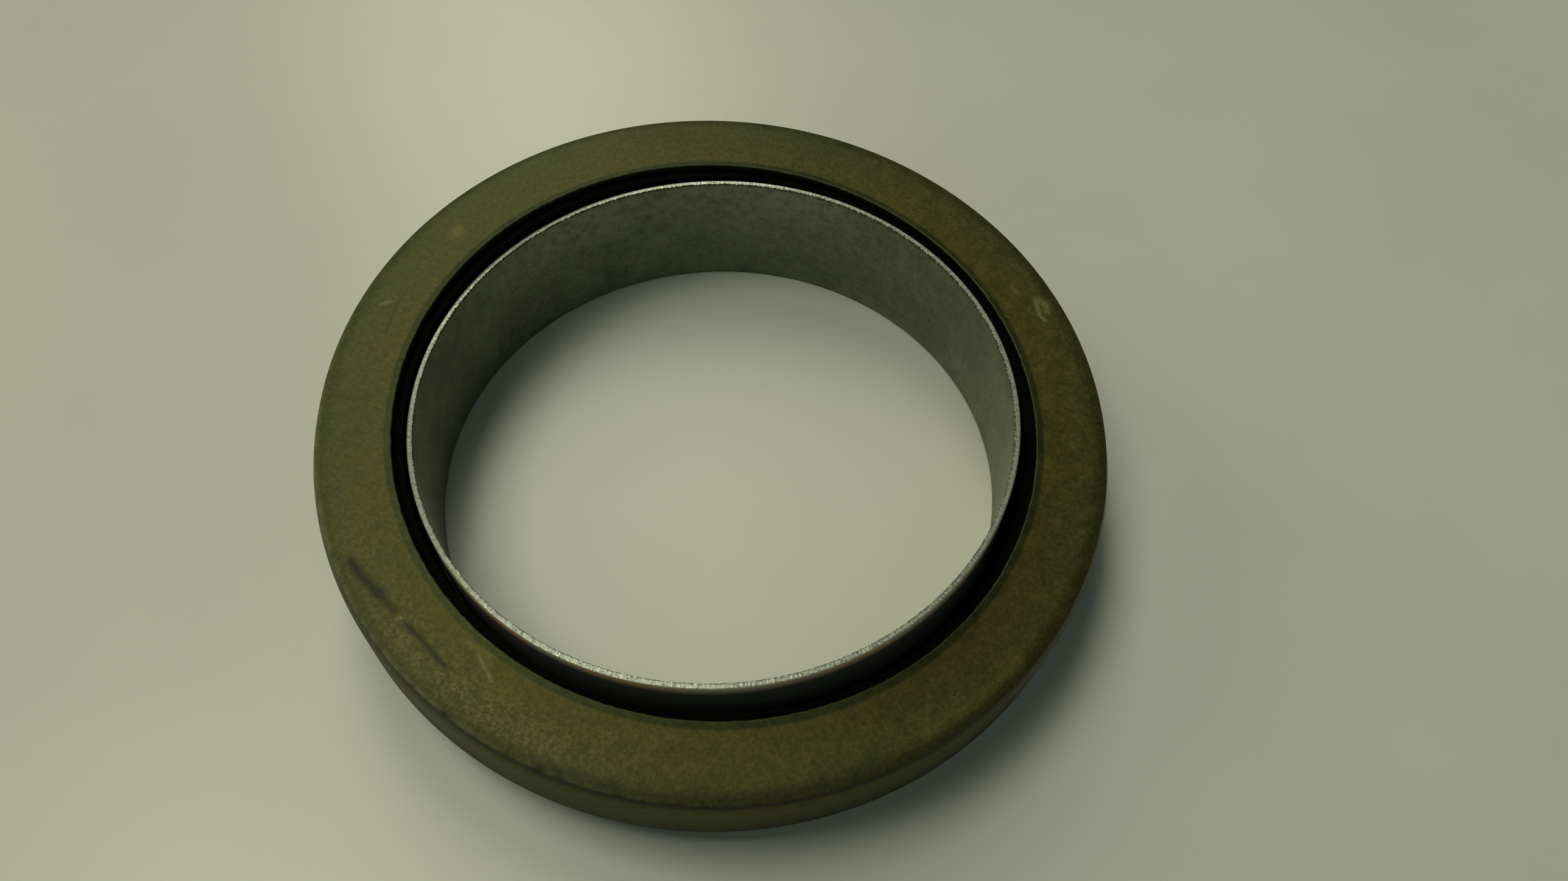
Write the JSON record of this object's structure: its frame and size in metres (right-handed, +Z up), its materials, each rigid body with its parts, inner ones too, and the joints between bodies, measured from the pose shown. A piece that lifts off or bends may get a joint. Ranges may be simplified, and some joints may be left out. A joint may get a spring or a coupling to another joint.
{
  "type": "rotary shaft seal with wear sleeve",
  "caption": "Large crankshaft-type rotary shaft seal: an olive pressed-steel case with a sprung rubber lip, fitted on its own thin steel wear sleeve.",
  "frame": {"origin": "centre of the wear sleeve's lower end, on which the seal stands", "axes": "+Z up along the wear sleeve's axis; X is the axis about which the seal rocks on the sleeve; the seal leans 4.3 degrees towards -Y at rest"},
  "size_m": [0.165, 0.1656, 0.036],
  "materials": {
    "sleeve_steel": "dull grey phosphated steel with a bright cut rim",
    "case_steel": "satin olive coating on pressed steel, mottled",
    "inner_steel": "oiled pressed steel",
    "lip_rubber": "moulded, matt",
    "excluder_fabric": "stiff rubberised fabric",
    "spring_steel": "bright coiled wire"
  },
  "bodies": {
    "sleeve": {"wear_sleeve": "sleeve_steel"},
    "spring": {"garter_spring": "spring_steel"},
    "seal": {"outer_case": "case_steel", "inner_case": "inner_steel", "seal_element": "lip_rubber", "lip_insert": "inner_steel", "spacer_ring": "inner_steel", "dust_excluder": "excluder_fabric"}
  },
  "joints": [
    {"name": "seal_tilt", "type": "hinge", "parent": "sleeve", "child": "spring", "pos_m": [0, 0, 0.0147], "axis": [1, 0, 0], "range_deg": [-9.1, 0.5]},
    {"name": "seal_spin", "type": "hinge", "parent": "spring", "child": "seal", "pos_m": [0, 0, 0.0147], "axis": [0, -0.075, 0.9972], "continuous": true}
  ]
}
